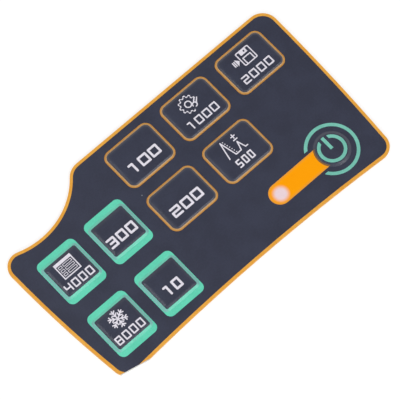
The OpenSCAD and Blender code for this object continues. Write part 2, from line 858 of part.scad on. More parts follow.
// The lamp's two pads and tracks, and the lead from the common track to the last place at the slot
module lamp_tracks() {
    pad_x = (lamp_l - lamp_end_l) / 2;
    bus_foot = foot_y + bottom_rise + bus_inset;
    for (side = [-1, 1])
        translate(lamp_at + [side * pad_x, 0])
            square([lamp_end_l * 2, lamp_w], center = true);
    stroke(to_slot([lamp_at - [pad_x, 0]], slot_count - 2), track_w);
    stroke([lamp_at + [pad_x, 0], lamp_at + [lamp_window_d, 0],
            [lamp_at.x + lamp_window_d, bus_foot]], track_w);
    stroke([slot_at(slot_count - 1), slot_at(slot_count - 1) + [0, track_pitch],
            [lamp_at.x - lamp_window_d, slot_y + track_pitch],
            [lamp_at.x - lamp_window_d, bus_foot]], track_w);
}

// All printed silver, seen from above
module silver_pattern() {
    difference() {
        union() {
            for (i = [0 : len(dome_at) - 1])
                contact(to_slot(concat([dome_at[i]], dome_tracks[i][1]), dome_tracks[i][0]));
            common_track();
            lamp_tracks();
        }
        tail_slot();
    }
}

module silver_circuit() {
    color("#b9bcc2")
        translate([0, 0, spacer_z - silver_t])
            linear_extrude(silver_t)
                silver_pattern();
}

module circuit_film() {
    color("#d9dde0")
        difference() {
            layer(circuit_z, circuit_t, layer_inset)
                tail_slot();
            translate([0, 0, spacer_z - silver_t])
                linear_extrude(silver_t + cut_over)
                    silver_pattern();
        }
}

// A flat lamp: a base with a clear block on it, between two metal ends
module indicator_led() {
    height = spacer_t + retainer_t + overlay_adhesive_t - lamp_clearance;
    base_t = height / 3;
    body_l = lamp_l - 2 * lamp_end_l;
    translate([lamp_at.x, lamp_at.y, spacer_z]) {
        color("#f2efe6")
            translate([-body_l / 2, -lamp_w / 2, 0])
                cube([body_l, lamp_w, height]);
        color("#c9a24a")
            for (side = [-1, 1])
                translate([side * (body_l + lamp_end_l) / 2 - lamp_end_l / 2, -lamp_w / 2, 0])
                    cube([lamp_end_l, lamp_w, base_t]);
    }
}

module rear_adhesive() {
    color("#cfc8b8")
        layer(0, rear_adhesive_t, layer_inset)
            tail_slot();
}

graphic_overlay();
border_ink();
key_outline_ink();
green_frame_ink();
indicator_bar_ink();
indicator_window();
power_symbol_ink();
legend_ink();
overlay_adhesive();
dome_retainer();
spacer();
dome(dome_at[0]);  // dome_1
dome(dome_at[1]);  // dome_2
dome(dome_at[2]);  // dome_3
dome(dome_at[3]);  // dome_4
dome(dome_at[4]);  // dome_5
dome(dome_at[5]);  // dome_6
dome(dome_at[6]);  // dome_7
dome(dome_at[7]);  // dome_8
dome(dome_at[8]);  // dome_9
dome(dome_at[9]);  // dome_power
circuit_film();
silver_circuit();
indicator_led();
rear_adhesive();
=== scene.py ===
# %% [markdown]
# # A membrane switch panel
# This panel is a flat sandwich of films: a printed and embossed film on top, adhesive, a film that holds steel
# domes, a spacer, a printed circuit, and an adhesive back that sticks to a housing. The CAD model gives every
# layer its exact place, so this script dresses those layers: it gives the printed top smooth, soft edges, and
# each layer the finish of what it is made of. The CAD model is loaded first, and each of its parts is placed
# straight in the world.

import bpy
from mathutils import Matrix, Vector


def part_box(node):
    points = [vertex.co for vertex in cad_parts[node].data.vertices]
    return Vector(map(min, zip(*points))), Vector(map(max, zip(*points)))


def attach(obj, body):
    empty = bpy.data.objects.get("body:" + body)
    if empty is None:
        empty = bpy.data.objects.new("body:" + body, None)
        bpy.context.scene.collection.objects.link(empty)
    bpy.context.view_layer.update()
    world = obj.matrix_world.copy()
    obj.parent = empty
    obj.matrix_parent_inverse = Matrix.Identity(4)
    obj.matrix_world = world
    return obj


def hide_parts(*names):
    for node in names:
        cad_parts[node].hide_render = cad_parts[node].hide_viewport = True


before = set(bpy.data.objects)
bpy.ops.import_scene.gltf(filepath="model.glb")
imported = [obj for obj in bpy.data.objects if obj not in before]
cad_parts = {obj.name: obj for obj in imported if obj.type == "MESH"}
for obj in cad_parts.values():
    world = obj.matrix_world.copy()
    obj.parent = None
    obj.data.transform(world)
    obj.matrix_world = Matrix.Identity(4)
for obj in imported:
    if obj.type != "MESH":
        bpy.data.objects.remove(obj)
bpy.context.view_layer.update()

import math

import bmesh
import bpy
from mathutils import Matrix, Vector

MM = 0.001

# %% [markdown]
# ## Colours and nodes
# Colours are written as the hex values that a screen shows. Blender mixes light in linear values, so one
# function turns the one into the other. Another small function adds a shader node, sets it and links it, which
# keeps each material short enough to read at a glance.

# %% Helpers for colours and nodes
def linear(hex_colour):
    """Screen colour such as "#3d4150" as linear red, green, blue and alpha."""
    shown = [int(hex_colour[i:i + 2], 16) / 255 for i in (1, 3, 5)]
    return [c / 12.92 if c <= 0.04045 else ((c + 0.055) / 1.055) ** 2.4 for c in shown] + [1.0]


def add(tree, kind, settings=None, values=None, links=None):
    """Adds a node: settings are its properties, values fill sockets, and links join sockets to outputs."""
    node = tree.nodes.new(kind)
    for name, value in (settings or {}).items():
        setattr(node, name, value)
    for socket, value in (values or {}).items():
        node.inputs[socket].default_value = value
    for socket, output in (links or {}).items():
        tree.links.new(output, node.inputs[socket])
    return node


def per_mm(size):
    """Texture scale at which one feature of the pattern is so many millimetres."""
    return 1 / (size * MM)


def start_material(name):
    """An empty material: its node tree, its output, and the Object coordinates that its patterns follow."""
    material = bpy.data.materials.new(name)
    material.use_nodes = True
    tree = material.node_tree
    tree.nodes.clear()
    place = add(tree, "ShaderNodeTexCoord").outputs["Object"]
    return material, tree, add(tree, "ShaderNodeOutputMaterial"), place


print("0.5 mm grain needs a texture scale of", per_mm(0.5))

# %% [markdown]
# ## The face of the film
# The top film is polyester, about a quarter of a millimetre thick, with a fine satin texture rolled into its
# face. All the colours are printed on its underside, so whatever the colour, light meets the same satin skin.
# That skin is made once here: a fine grain for the bump, and a slow waviness because a thin film is never quite
# flat. The real grain is about 0.05 mm wide and 0.004 mm deep, far too fine to show. It is drawn six times as
# wide and as deep, so that its slopes, which are what the light sees, stay as they are. The IOR is the usual one
# of polyester, and the roughness is matched to the soft highlights in the photograph.

# %% The satin skin that all printed colours share
GRAIN = 0.3
GRAIN_DEPTH = 0.024
WAVE = 14
WAVE_DEPTH = 0.02
POLYESTER_IOR = 1.58
SATIN_ROUGHNESS = 0.36


def satin_normal(tree, place):
    """Bumped normal of the satin film: rolled grain over a slow waviness."""
    wave = add(tree, "ShaderNodeTexNoise", {}, {"Scale": per_mm(WAVE), "Detail": 1.0}, {"Vector": place})
    grain = add(tree, "ShaderNodeTexNoise", {}, {"Scale": per_mm(GRAIN), "Detail": 2.0}, {"Vector": place})
    slow = add(tree, "ShaderNodeBump", {}, {"Distance": WAVE_DEPTH * MM, "Strength": 1.0},
               {"Height": wave.outputs["Fac"]})
    fine = add(tree, "ShaderNodeBump", {}, {"Distance": GRAIN_DEPTH * MM, "Strength": 1.0},
               {"Height": grain.outputs["Fac"], "Normal": slow.outputs["Normal"]})
    return fine.outputs["Normal"]


print("satin skin: grain", GRAIN, "mm wide and", GRAIN_DEPTH, "mm deep, waves", WAVE, "mm wide")

# %% [markdown]
# ## Printed colours
# Screen ink is laid down through a mesh, so a large field is never perfectly even: it is a little denser here
# and thinner there. Each colour therefore runs between two close tones over a few millimetres, with a trace of
# the mesh itself, whose threads stand about 0.25 mm apart and are drawn at twice that so that they show. The noise
# is read as a level of ink: dense up to one value, thin from another, and in between it runs over. On a key's
# wall each colour is mixed towards a third tone, which is partly ink drawn thin where the film was pressed and
# partly painted light: a painted sheen that leaves the slate and the orange line paler, and a painted sheen and
# shade that leave the green greyer. The wall leans 24 degrees, so its normal reaches out sideways where that of the
# flat film doesn't, and the length of the normal's X and Y parts tells the two apart. A share of less than 1 for Y
# lets the walls at a key's two ends count less than those at its sides, so the painted tone is weaker there.

# %% A printed colour under the film
MESH_THREADS = 0.5
THREAD_SHARE = 0.35
DENSE_UP_TO = 0.45
THIN_FROM = 0.9
FLAT_TILT = math.sin(math.radians(8))
WALL_TILT = math.sin(math.radians(20))


def on_wall(tree, at_ends=1.0):
    """1 on a key's wall and 0 on the flat. at_ends tells how much a wall at a key's upper or lower end counts."""
    slope = add(tree, "ShaderNodeVectorMath", {"operation": "MULTIPLY"}, {1: (1.0, at_ends, 0.0)},
                {0: add(tree, "ShaderNodeNewGeometry").outputs["True Normal"]})
    lean = add(tree, "ShaderNodeVectorMath", {"operation": "LENGTH"}, {}, {0: slope.outputs["Vector"]})
    wall = add(tree, "ShaderNodeMapRange", {"interpolation_type": "SMOOTHSTEP"},
               {"From Min": FLAT_TILT, "From Max": WALL_TILT}, {"Value": lean.outputs["Value"]})
    return wall.outputs["Result"]


def printed_colour(name, dense, thin, stretched, cloud, specks=0.0, at_ends=1.0):
    """Ink under satin film. dense and thin are its two tones on the flat, in patches of cloud mm, and stretched
    is its tone on a key's wall, as on_wall finds it: partly thin ink and partly painted sheen and shade."""
    material, tree, output, place = start_material(name)
    patches = add(tree, "ShaderNodeTexNoise", {}, {"Scale": per_mm(cloud), "Detail": 4.0}, {"Vector": place})
    threads = add(tree, "ShaderNodeTexNoise", {}, {"Scale": per_mm(MESH_THREADS), "Detail": 0.0},
                  {"Vector": place})
    share = add(tree, "ShaderNodeMath", {"operation": "MULTIPLY_ADD"}, {1: THREAD_SHARE},
                {0: threads.outputs["Fac"], 2: patches.outputs["Fac"]})
    level = add(tree, "ShaderNodeMapRange", {"interpolation_type": "SMOOTHSTEP"},
                {"From Min": DENSE_UP_TO, "From Max": THIN_FROM}, {"Value": share.outputs["Value"]})
    tone = add(tree, "ShaderNodeMix", {"data_type": "RGBA"}, {"A": linear(dense), "B": linear(thin)},
               {"Factor": level.outputs["Result"]})
    # On a key's wall the tone turns to stretched: partly thin ink, partly painted sheen and shade
    thin_ink_and_painted_light = add(tree, "ShaderNodeMix", {"data_type": "RGBA"}, {"B": linear(stretched)},
                 {"Factor": on_wall(tree, at_ends), "A": tone.outputs["Result"]})
    colour = thin_ink_and_painted_light.outputs["Result"]
    if specks:
        colour = with_specks(tree, place, colour, specks)
    shader = add(tree, "ShaderNodeBsdfPrincipled", {}, {"IOR": POLYESTER_IOR, "Roughness": SATIN_ROUGHNESS},
                 {"Base Color": colour, "Normal": satin_normal(tree, place)})
    tree.links.new(shader.outputs["BSDF"], output.inputs["Surface"])
    return material


print("a wall is told by a lean between", round(FLAT_TILT, 2), "and", round(WALL_TILT, 2))

# %% [markdown]
# ### Specks of dust
# A few pale specks lie on the dark film, as they do on any panel that has been handled. A Voronoi texture puts
# one point in each cell of space. More than half of the points are left out, and a speck shows only where one of
# the others lies close to the film's face, so the specks are sparse and uneven. A real speck is about 0.1 mm wide,
# and is drawn up to 0.32 mm wide so that it still shows.

# %% Sparse pale specks
SPECK_CELL = 7
SPECK_RADIUS = 0.16
SPECKS_LEFT_OUT = 0.6
SPECK_TONE = "#b4b8c4"


def with_specks(tree, place, colour, amount):
    """The colour with pale specks on it, of which amount is the strength."""
    cells = add(tree, "ShaderNodeTexVoronoi", {}, {"Scale": per_mm(SPECK_CELL)}, {"Vector": place})
    dot = add(tree, "ShaderNodeMath", {"operation": "LESS_THAN"}, {1: SPECK_RADIUS / SPECK_CELL},
              {0: cells.outputs["Distance"]})
    chance = add(tree, "ShaderNodeSeparateColor", {}, {}, {"Color": cells.outputs["Color"]})
    kept = add(tree, "ShaderNodeMath", {"operation": "GREATER_THAN"}, {1: SPECKS_LEFT_OUT},
               {0: chance.outputs["Red"]})
    both = add(tree, "ShaderNodeMath", {"operation": "MULTIPLY"}, {},
               {0: dot.outputs["Value"], 1: kept.outputs["Value"]})
    share = add(tree, "ShaderNodeMath", {"operation": "MULTIPLY"}, {1: amount}, {0: both.outputs["Value"]})
    mixed = add(tree, "ShaderNodeMix", {"data_type": "RGBA"}, {"B": linear(SPECK_TONE)},
                {"Factor": share.outputs["Value"], "A": colour})
    return mixed.outputs["Result"]


print("one speck of", 2 * SPECK_RADIUS, "mm at most in a cell of", SPECK_CELL, "mm")

# %% [markdown]
# ### The six printed colours
# Each ink gets its own pair of tones and its tone where it is drawn thin. They are matched to the photograph. The
# last number is the size of the patches in millimetres: a wide field varies slowly and a narrow line quickly.

# %% The printed colours of the panel
# Dense slate ink under satin film: a dark blue-grey field that takes a soft grey sheen, with a few specks of dust,
# and a paler tone on the keys' walls that is partly thin ink and partly painted sheen
slate_film = printed_colour("satin_polyester_printed_slate", "#2c2f41", "#323649", "#35394a", 6, specks=0.45)
# Opaque orange ink on clear film: the brightest and warmest edge of the panel
border_orange = printed_colour("screen_ink_border_orange", "#e49e30", "#ebaa40", "#e49e30", 4)
# The same kind of ink in a thin line over slate: browner, and a paler tan where it climbs a key's wall, partly thin
# ink and partly painted sheen
line_orange = printed_colour("screen_ink_line_orange", "#c0832e", "#ca8e3a", "#b88e58", 2)
# Opaque mint ink: cool and even, and greyer on the walls at a key's sides, partly thin ink and partly painted sheen
# and shade
frame_green = printed_colour("screen_ink_frame_green", "#5dd0b0", "#64d8b8", "#72b2aa", 4, at_ends=0.5)
# Thinner green ink over slate: a soft, slightly grey mint
power_green = printed_colour("screen_ink_power_green", "#70bcab", "#7bc7b5", "#70bcab", 3)
# White ink over slate: off-white with a trace of violet from the dark ink under it
legend_white = printed_colour("screen_ink_legend_white", "#dedae4", "#e8e4ee", "#dedae4", 1.5)
print("printed colours:", [m.name for m in (slate_film, border_orange, line_orange, frame_green, power_green,
                                            legend_white)])

# %% [markdown]
# ## The amber bar and its lamp window
# Over the lamp the amber is left open, and a milky ink spreads the light. The milky ink runs under the amber, so
# the window's edge is soft, and it was printed a little out of register, which is usual where two inks meet. The
# distance from the window's middle drives the mix of the two colours, and the lamp's place is read from the CAD
# node. The bar's own edge is a little duller than its middle, because ink lies thinner along an edge: there the
# distance is measured from the bar's middle line, so the X part is kept at zero on the bar's side of the lamp.
# Where the bar climbs the power key's wall, it is mixed to a dark brown, which is partly its ink drawn thin over the
# slate and partly painted shade. The amber in the photograph is very pure, so hardly any of the room is mirrored in
# it, and its IOR is matched down to 1.2.

# %% Amber ink with a milky window
OUT_OF_REGISTER = Vector((0.15, -0.17, 0)) * MM
AMBER_PATCHES = 5
MILKY_PATCHES = 0.8
BAR_HALF = 2.95
DULL_EDGE = 0.8
AMBER_IOR = 1.2


def amber_and_window(name, dense, thin, edge_tone, stretched, milky, milkier, clear_radius, rim_radius):
    """Amber ink that turns milky within rim_radius of the window's middle, and fully within clear_radius, in mm.
    edge_tone is its colour along the bar's edge, and stretched its darker colour on the power key's wall: thin ink
    and painted shade."""
    low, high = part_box("indicator_window")
    middle = (low + high) / 2
    material, tree, output, place = start_material(name)
    patches = add(tree, "ShaderNodeTexNoise", {}, {"Scale": per_mm(AMBER_PATCHES), "Detail": 4.0},
                  {"Vector": place})
    amber = add(tree, "ShaderNodeMix", {"data_type": "RGBA"}, {"A": linear(dense), "B": linear(thin)},
                {"Factor": patches.outputs["Fac"]})
    centred = add(tree, "ShaderNodeVectorMath", {"operation": "SUBTRACT"}, {1: middle}, {0: place})
    off_line = add(tree, "ShaderNodeVectorMath", {"operation": "MINIMUM"}, {1: (0.0, 1.0, 1.0)},
                   {0: centred.outputs["Vector"]})
    out = add(tree, "ShaderNodeVectorMath", {"operation": "LENGTH"}, {}, {0: off_line.outputs["Vector"]})
    edge = add(tree, "ShaderNodeMapRange", {"interpolation_type": "SMOOTHSTEP"},
               {"From Min": (BAR_HALF - DULL_EDGE) * MM, "From Max": BAR_HALF * MM},
               {"Value": out.outputs["Value"]})
    edged = add(tree, "ShaderNodeMix", {"data_type": "RGBA"}, {"B": linear(edge_tone)},
                {"Factor": edge.outputs["Result"], "A": amber.outputs["Result"]})
    cloud = add(tree, "ShaderNodeTexNoise", {}, {"Scale": per_mm(MILKY_PATCHES), "Detail": 2.0},
                {"Vector": place})
    milk = add(tree, "ShaderNodeMix", {"data_type": "RGBA"}, {"A": linear(milky), "B": linear(milkier)},
               {"Factor": cloud.outputs["Fac"]})
    shifted = add(tree, "ShaderNodeVectorMath", {"operation": "DISTANCE"}, {1: OUT_OF_REGISTER},
                  {0: centred.outputs["Vector"]})
    clear = add(tree, "ShaderNodeMapRange", {"interpolation_type": "SMOOTHSTEP"},
                {"From Min": clear_radius * MM, "From Max": rim_radius * MM}, {"Value": shifted.outputs["Value"]})
    inks = add(tree, "ShaderNodeMix", {"data_type": "RGBA"}, {},
               {"Factor": clear.outputs["Result"], "A": milk.outputs["Result"], "B": edged.outputs["Result"]})
    # On the power key's wall the amber turns dark brown: partly thin ink, partly painted shade
    colour = add(tree, "ShaderNodeMix", {"data_type": "RGBA"}, {"B": linear(stretched)},
                 {"Factor": on_wall(tree), "A": inks.outputs["Result"]})
    shader = add(tree, "ShaderNodeBsdfPrincipled", {}, {"IOR": AMBER_IOR, "Roughness": SATIN_ROUGHNESS},
                 {"Base Color": colour.outputs["Result"], "Normal": satin_normal(tree, place)})
    tree.links.new(shader.outputs["BSDF"], output.inputs["Surface"])
    return material


# Strong amber ink, glowing and even, that gives way to a milky pink-white window over the lamp
# On the power key's wall it is dark brown, partly thin ink and partly painted shade
bar_amber = amber_and_window("screen_ink_amber_with_milky_window", "#ff9e00", "#ffa404", edge_tone="#ea9c34",
                             stretched="#80603c", milky="#e8d0d5", milkier="#efd8df",
                             clear_radius=1.1, rim_radius=2.6)
print("amber bar and window:", bar_amber.name)

# %% [markdown]
# ## Plain films and adhesives
# Under the printed film lie plain films and adhesives: cream acrylic tape, frosted and white polyester, and a
# nearly clear film for the circuit. None is quite even, so each runs between two close tones, with a fine grain.

# %% Plain layers
def plain_layer(name, tone, other_tone, roughness, cloud=3, ior=POLYESTER_IOR, bump=0.003):
    """A plain film or adhesive that runs between two tones in patches of cloud mm."""
    material, tree, output, place = start_material(name)
    patches = add(tree, "ShaderNodeTexNoise", {}, {"Scale": per_mm(cloud), "Detail": 3.0}, {"Vector": place})
    colour = add(tree, "ShaderNodeMix", {"data_type": "RGBA"}, {"A": linear(tone), "B": linear(other_tone)},
                 {"Factor": patches.outputs["Fac"]})
    grain = add(tree, "ShaderNodeTexNoise", {}, {"Scale": per_mm(GRAIN), "Detail": 2.0}, {"Vector": place})
    relief = add(tree, "ShaderNodeBump", {}, {"Distance": bump * MM, "Strength": 1.0},
                 {"Height": grain.outputs["Fac"]})
    shader = add(tree, "ShaderNodeBsdfPrincipled", {}, {"IOR": ior, "Roughness": roughness},
                 {"Base Color": colour.outputs["Result"], "Normal": relief.outputs["Normal"]})
    tree.links.new(shader.outputs["BSDF"], output.inputs["Surface"])
    return material


# Soft acrylic adhesive: cream, with the low uneven gloss of a tacky skin
transfer_tape = plain_layer("acrylic_transfer_tape", "#cbc3b0", "#d6cfbd", 0.3, cloud=2, ior=1.47, bump=0.012)
# Polyester rolled to a frost: milky and dull
clear_film = plain_layer("frosted_polyester", "#d2cfc6", "#dcdad2", 0.45)
# White-filled polyester: a chalky warm white
spacer_film = plain_layer("white_polyester_spacer", "#e0ddd2", "#e8e5dc", 0.5)
# Heat-treated clear polyester: a faint cool grey with more gloss
circuit_base = plain_layer("clear_polyester_circuit_base", "#d3d8dc", "#dde1e4", 0.3)
print("layers:", [m.name for m in (transfer_tape, clear_film, spacer_film, circuit_base)])

# %% [markdown]
# ### Cut edges
# The panel is punched out of the stack with one die. On the cut you look into the side of the films, and the
# print above tints the light that comes through them: a deeper orange in the top film, and a pale, warm orange
# in the layers under it. At the lower left a corner was trimmed off straight, through the orange border, so no
# orange lies over that cut, and it shows the plain pale edge of the film.

# %% Materials of the cut
# The top film seen from its cut side: deep, warm orange
film_cut = plain_layer("die_cut_film_under_orange", "#cc862a", "#d89236", 0.4)
# White and cream layers seen from their cut side: pale, light-filled orange
layer_cut = plain_layer("die_cut_layers_under_orange", "#fabb64", "#ffc670", 0.45, cloud=1)
# A cut with no orange over it: the plain grey-white of polyester
trimmed_cut = plain_layer("trimmed_polyester_edge", "#a6a6ae", "#b4b4ba", 0.4)
print("cuts:", [m.name for m in (film_cut, layer_cut, trimmed_cut)])

# %% [markdown]
# ## Rolled steel
# The domes are pressed from cold-rolled stainless strip, so fine straight lines from the rolls cross them. They
# stand about 0.05 mm apart, and are drawn at 0.12 mm so that they show. A noise that is stretched 25 times along
# one axis gives those lines, and they steer the roughness as well as the bump, so that the steel glints in
# streaks.

# %% Rolled steel
ROLL_LINES = 0.12
ROLL_DEPTH = 0.002
STRETCH = 25


def rolled_steel(name):
    """Cold-rolled stainless steel with fine lines along X."""
    material, tree, output, place = start_material(name)
    stretched = add(tree, "ShaderNodeMapping", {}, {"Scale": (1 / STRETCH, 1.0, 1.0)}, {"Vector": place})
    lines = add(tree, "ShaderNodeTexNoise", {}, {"Scale": per_mm(ROLL_LINES), "Detail": 3.0},
                {"Vector": stretched.outputs["Vector"]})
    sheen = add(tree, "ShaderNodeMapRange", {}, {"To Min": 0.22, "To Max": 0.38},
                {"Value": lines.outputs["Fac"]})
    relief = add(tree, "ShaderNodeBump", {}, {"Distance": ROLL_DEPTH * MM, "Strength": 1.0},
                 {"Height": lines.outputs["Fac"]})
    shader = add(tree, "ShaderNodeBsdfPrincipled", {},
                 {"Base Color": linear("#c2c4c8"), "Metallic": 1.0, "Anisotropic": 0.4},
                 {"Roughness": sheen.outputs["Result"], "Normal": relief.outputs["Normal"]})
    tree.links.new(shader.outputs["BSDF"], output.inputs["Surface"])
    return material


# Bright grey metal with a soft streaky sheen
dome_steel = rolled_steel("rolled_stainless_steel")
print("domes:", dome_steel.name, "with lines", ROLL_LINES, "mm apart")

# %% [markdown]
# ## Printed silver
# The circuit is screen-printed with a paste of silver flakes. It conducts like metal but hardly shines, because
# the flakes lie every which way, so it is a rough metal that runs between two greys from flake to flake. A flake
# is about 0.02 mm wide, and is drawn at 0.1 mm so that it shows.

# %% Printed silver
FLAKE = 0.1
FLAKE_DEPTH = 0.004


def silver_paste(name):
    """Printed silver paste: dull metal with a grain of flakes."""
    material, tree, output, place = start_material(name)
    flakes = add(tree, "ShaderNodeTexNoise", {}, {"Scale": per_mm(FLAKE), "Detail": 2.0}, {"Vector": place})
    tone = add(tree, "ShaderNodeMix", {"data_type": "RGBA"}, {"A": linear("#a9acb1"), "B": linear("#c9ccd1")},
               {"Factor": flakes.outputs["Fac"]})
    relief = add(tree, "ShaderNodeBump", {}, {"Distance": FLAKE_DEPTH * MM, "Strength": 1.0},
                 {"Height": flakes.outputs["Fac"]})
    shader = add(tree, "ShaderNodeBsdfPrincipled", {}, {"Metallic": 1.0, "Roughness": 0.55},
                 {"Base Color": tone.outputs["Result"], "Normal": relief.outputs["Normal"]})
    tree.links.new(shader.outputs["BSDF"], output.inputs["Surface"])
    return material


# Dull, grainy light grey
printed_silver = silver_paste("printed_silver_paste")
print("tracks:", printed_silver.name, "with flakes of", FLAKE, "mm")

# %% [markdown]
# ## The lamp's body
# The lamp is a tiny block of milky epoxy between two gold-plated ends. One material does both: the X coordinate is
# compared with the lamp's middle, and beyond half a millimetre from it the epoxy gives way to gold.

# %% The lamp's body
BODY_HALF = 0.5
EPOXY_PATCHES = 0.3


def lamp_block(name):
    """Milky epoxy that gives way to gold-plated ends on both sides of the lamp's middle."""
    low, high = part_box("indicator_led")
    middle = (low + high) / 2
    material, tree, output, place = start_material(name)
    along = add(tree, "ShaderNodeSeparateXYZ", {}, {}, {"Vector": place})
    is_body = add(tree, "ShaderNodeMath", {"operation": "COMPARE"}, {1: middle.x, 2: BODY_HALF * MM},
                  {0: along.outputs["X"]})
    cloud = add(tree, "ShaderNodeTexNoise", {}, {"Scale": per_mm(EPOXY_PATCHES), "Detail": 2.0},
                {"Vector": place})
    epoxy = add(tree, "ShaderNodeMix", {"data_type": "RGBA"}, {"A": linear("#efeadb"), "B": linear("#f7f4ea")},
                {"Factor": cloud.outputs["Fac"]})
    body = add(tree, "ShaderNodeBsdfPrincipled", {}, {"IOR": 1.54, "Roughness": 0.2},
               {"Base Color": epoxy.outputs["Result"]})
    ends = add(tree, "ShaderNodeBsdfPrincipled", {},
               {"Base Color": linear("#d8b25a"), "Metallic": 1.0, "Roughness": 0.3})
    joined = add(tree, "ShaderNodeMixShader", {}, {},
                 {0: is_body.outputs["Value"], 1: ends.outputs["BSDF"], 2: body.outputs["BSDF"]})
    tree.links.new(joined.outputs["Shader"], output.inputs["Surface"])
    return material


# Smooth milky plastic with small glints of gold at both ends
lamp_body = lamp_block("epoxy_lamp_gold_ends")
print("lamp:", lamp_body.name)

# %% [markdown]
# ## Walk round the outline
# Upright faces are found by their normal, but the pockets, windows and the slot inside the layers have upright
# walls too. The outline's own faces hang together, so a walk from the rightmost upright face to its upright
# neighbours, and on to theirs, finds just those. A normal has a length of 1, so its Z part is near 0 on an upright
# face. The trim is the one straight cut whose normal points down and a little to the left.

# %% Find the outline's faces
WELD = 0.0005 * MM
UPRIGHT_Z = 0.3
TRIM_Y = -0.95
TRIM_X = (-0.3, -0.15)


def outline_faces(shape):
    """The upright faces round the outline of a welded layer. The list grows while the loop walks along it."""
    upright = {face for face in shape.faces if abs(face.normal.z) < UPRIGHT_Z}
    found = [max(upright, key=lambda face: face.calc_center_median().x)]
    for face in found:
        upright.discard(face)
        near = {other for edge in face.edges for other in edge.link_faces if other in upright}
        found.extend(near)
        upright -= near
    return found


def is_trimmed(face):
    """Whether an upright face belongs to the straight trim at the lower left."""
    return face.normal.y < TRIM_Y and TRIM_X[0] < face.normal.x < TRIM_X[1]


shape = bmesh.new()
shape.from_mesh(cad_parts["rear_adhesive"].data)
bmesh.ops.remove_doubles(shape, verts=shape.verts, dist=WELD)
walked = outline_faces(shape)
print("round the back tape the walk finds", len(walked), "faces,", sum(map(is_trimmed, walked)), "of them trimmed")
shape.free()

# %% [markdown]
# ## Soft bends
# The film is heated and pressed so that each key stands up as a shallow pan with a rounded foot and shoulder.
# The CAD mesh has those bends as narrow flat strips. A copy of it is welded, told to shade smoothly across the
# strips but not across real corners, and given weighted normals, so that the wide flat areas stay flat while the
# bends catch a soft line of light. The copy then stands for the CAD node. The same is done with each ink, and
# with each plain layer, whose copy also gets the materials of its cut.

# %% Smooth copies of the nodes
CORNER = math.radians(35)


def smooth_copy(node, name, slot, *materials):
    """A welded copy of a CAD node that shades smoothly over bends and stands for that node. Its materials are
    that of the whole, and if it is cut along the outline, those of the cut and of the trim."""
    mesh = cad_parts[node].data.copy()
    mesh.name = name
    mesh.materials.clear()
    for material in materials:
        mesh.materials.append(material)
    shape = bmesh.new()
    shape.from_mesh(mesh)
    bmesh.ops.remove_doubles(shape, verts=shape.verts, dist=WELD)
    for edge in shape.edges:
        edge.smooth = edge.calc_face_angle(math.pi) < CORNER
    for face in shape.faces:
        face.smooth = True
        face.material_index = 0
    if len(materials) > 1:
        for face in outline_faces(shape):
            face.material_index = 2 if is_trimmed(face) else 1
    shape.to_mesh(mesh)
    count = len(shape.faces)
    shape.free()
    piece = bpy.data.objects.new(name, mesh)
    bpy.context.scene.collection.objects.link(piece)
    weighted = piece.modifiers.new("flat areas stay flat", "WEIGHTED_NORMAL")
    weighted.keep_sharp = True
    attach(piece, "root")
    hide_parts(node)
    print(name, "stands for", node, "with", count, "faces")
    return piece


film = smooth_copy("graphic_overlay", "embossed_film", "overlay_film", slate_film, film_cut, trimmed_cut)
for node, name, slot, material in (
        ("border_ink", "border_print", "orange_border_ink", border_orange),
        ("key_outline_ink", "key_line_print", "orange_line_ink", line_orange),
        ("green_frame_ink", "green_frame_print", "green_ink", frame_green),
        ("indicator_bar_ink", "lamp_bar_print", "amber_bar_ink", bar_amber),
        ("indicator_window", "lamp_window_print", "lamp_window_ink", bar_amber),
        ("power_symbol_ink", "power_symbol_print", "power_green_ink", power_green),
        ("legend_ink", "legend_print", "legend_ink", legend_white)):
    smooth_copy(node, name, slot, material)
for node, name, slot, material in (
        ("overlay_adhesive", "overlay_tape", "transfer_adhesive", transfer_tape),
        ("dome_retainer", "dome_holding_film", "clear_film", clear_film),
        ("spacer", "pocketed_spacer", "spacer_film", spacer_film),
        ("circuit_film", "circuit_base_film", "circuit_film", circuit_base),
        ("rear_adhesive", "rear_tape", "transfer_adhesive", transfer_tape)):
    smooth_copy(node, name, slot, material, layer_cut, material)

# %% [markdown]
# ### Soft pillows
# Forming leaves the top of a key slightly crowned: it rolls over softly just inside its edge. The CAD pad is flat
# there, and a drop of a few hundredths of a millimetre is more easily told to the light than modelled. The light
# asks each vertex for its normal, so the pads need vertices first: each is made one face and cut into small
# squares, and its middle, half sizes and corner radius are noted on the way.

# %% Cut the pads into squares
SQUARES = 0.4 * MM
LEVEL_Z = 0.9999
HAIR = 0.002 * MM

shape = bmesh.new()
shape.from_mesh(film.data)
pad_top = max(vert.co.z for vert in shape.verts)


def pad_faces():
    """The flat faces on top of the keys."""
    return [face for face in shape.faces
            if face.normal.z > LEVEL_Z and abs(face.calc_center_median().z - pad_top) < HAIR]


bmesh.ops.dissolve_faces(shape, faces=pad_faces())
pads = []
for face in pad_faces():
    xs, ys = [vert.co.x for vert in face.verts], [vert.co.y for vert in face.verts]
    x, half_x = (max(xs) + min(xs)) / 2, (max(xs) - min(xs)) / 2
    y, half_y = (max(ys) + min(ys)) / 2, (max(ys) - min(ys)) / 2
    straight_end = max(vert.co.x for vert in face.verts if vert.co.y > max(ys) - HAIR)
    pads.append((x, y, half_x, half_y, max(xs) - straight_end))
    piece = [face, *face.edges, *face.verts]
    for way, middle, half in ((Vector((1, 0, 0)), x, half_x), (Vector((0, 1, 0)), y, half_y)):
        steps = int(half / SQUARES)
        for step in range(-steps, steps + 1):
            piece = bmesh.ops.bisect_plane(shape, geom=piece, dist=WELD, plane_co=way * (middle + step * SQUARES),
                                           plane_no=way)["geom"]
for edge in shape.edges:
    edge.smooth = edge.calc_face_angle(math.pi) < CORNER
shape.to_mesh(film.data)
shape.free()
